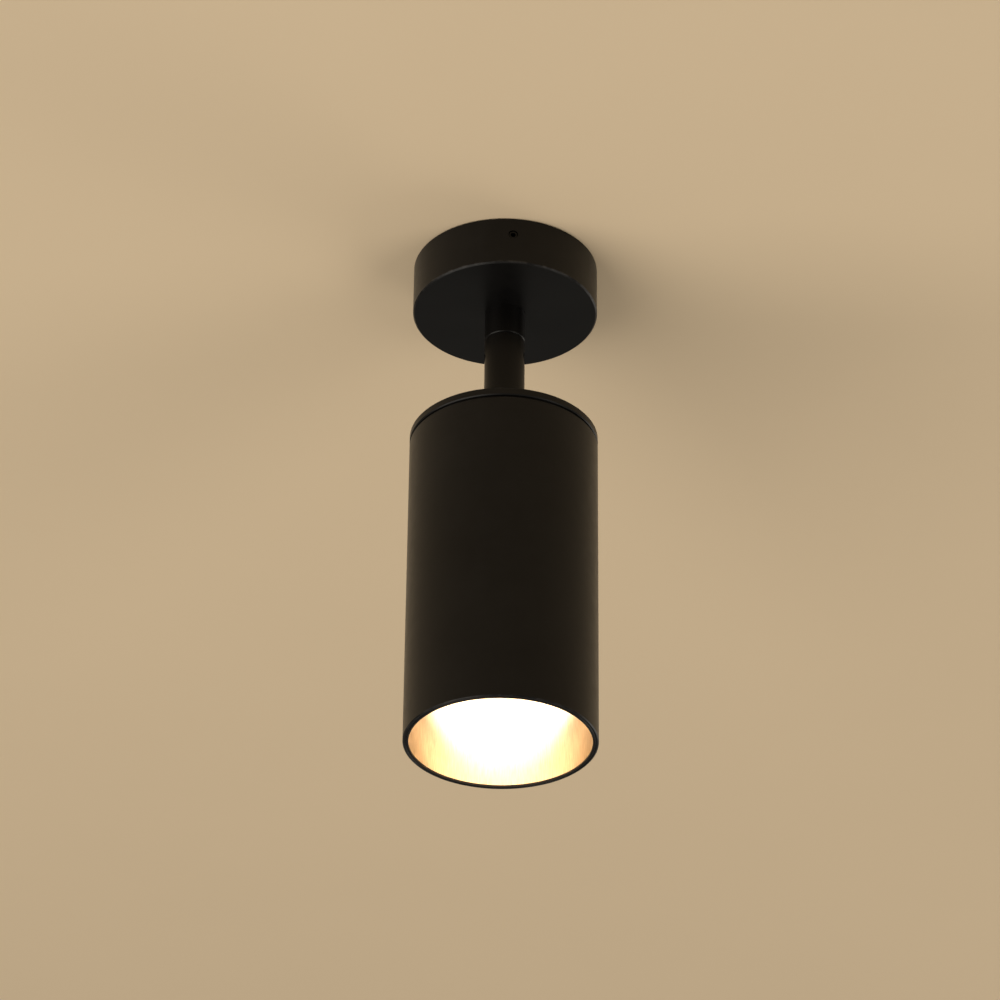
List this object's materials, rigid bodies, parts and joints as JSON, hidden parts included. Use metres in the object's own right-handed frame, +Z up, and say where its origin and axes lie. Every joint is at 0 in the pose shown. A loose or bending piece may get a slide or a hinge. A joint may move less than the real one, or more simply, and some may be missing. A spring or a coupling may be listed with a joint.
{
  "type": "ceiling spotlight",
  "caption": "Ceiling spotlight: round canopy, short stem that turns and tilts on a hidden knuckle, and a tubular head with a recessed twist-lock lamp.",
  "frame": {"origin": "on the ceiling plane, on the canopy's centre line, midway between the bracket's two slots", "axes": "+Z up into the ceiling, -Y to the front; the head tilts about X towards +Y"},
  "size_m": [0.06, 0.06, 0.1753],
  "materials": {
    "black_coat": "satin black powder coat",
    "zinc_steel": "zinc plated",
    "brass": "satin",
    "bush_plastic": "matte",
    "block_plastic": "matte",
    "fibre": "matte",
    "ceramic": "glazed",
    "earth_insulation": "satin",
    "live_insulation": "satin",
    "neutral_insulation": "satin",
    "reflector": "bright satin",
    "lamp_white": "satin",
    "lens": "frosted",
    "board": "matte white",
    "emitter": "matte"
  },
  "bodies": {
    "canopy": {"canopy_cover": "black_coat", "mounting_bracket": "zinc_steel", "canopy_screws": "black_coat", "cable_bush": "bush_plastic", "terminal_block": "block_plastic", "terminal_inserts": "brass", "terminal_screws": "zinc_steel", "terminal_fixing_screw": "zinc_steel", "earth_screw": "brass", "earth_washer": "brass", "earth_tag": "zinc_steel", "earth_lead": "earth_insulation", "live_lead_canopy": "live_insulation", "neutral_lead_canopy": "neutral_insulation", "stop_pin": "zinc_steel"},
    "swivel": {"swivel_collar": "black_coat", "hollow_nipple": "zinc_steel", "friction_washer": "fibre", "stop_washer": "zinc_steel", "spring_washer": "zinc_steel", "nipple_nut": "brass", "live_lead_swivel": "live_insulation", "neutral_lead_swivel": "neutral_insulation"},
    "head": {"stem_arm": "black_coat", "pivot_screw": "zinc_steel", "pivot_washers": "fibre", "end_cap": "black_coat", "arm_lock_washer": "zinc_steel", "arm_nut": "brass", "body_tube": "black_coat", "lamp_bracket": "zinc_steel", "lamp_holder": "ceramic", "holder_screws": "zinc_steel", "holder_contacts": "brass", "live_lead_head": "live_insulation", "neutral_lead_head": "neutral_insulation", "reflector_sleeve": "reflector", "front_ring": "black_coat"},
    "lamp": {"lamp_shell": "lamp_white", "lamp_base": "lamp_white", "lamp_pins": "zinc_steel", "lamp_lens": "lens", "led_board": "board", "led_chips": "emitter"}
  },
  "joints": [
    {"name": "pan", "type": "hinge", "parent": "canopy", "child": "swivel", "pos_m": [0, 0, -0.0171], "axis": [0, 0, 1], "range_deg": [-170, 170]},
    {"name": "tilt", "type": "hinge", "parent": "swivel", "child": "head", "pos_m": [0, 0, -0.0344], "axis": [1, 0, 0], "range_deg": [0, 90]},
    {"name": "lamp_twist", "type": "hinge", "parent": "head", "child": "lamp", "pos_m": [0, 0, -0.0943], "axis": [0, 0, -1], "range_deg": [0, 45]}
  ]
}
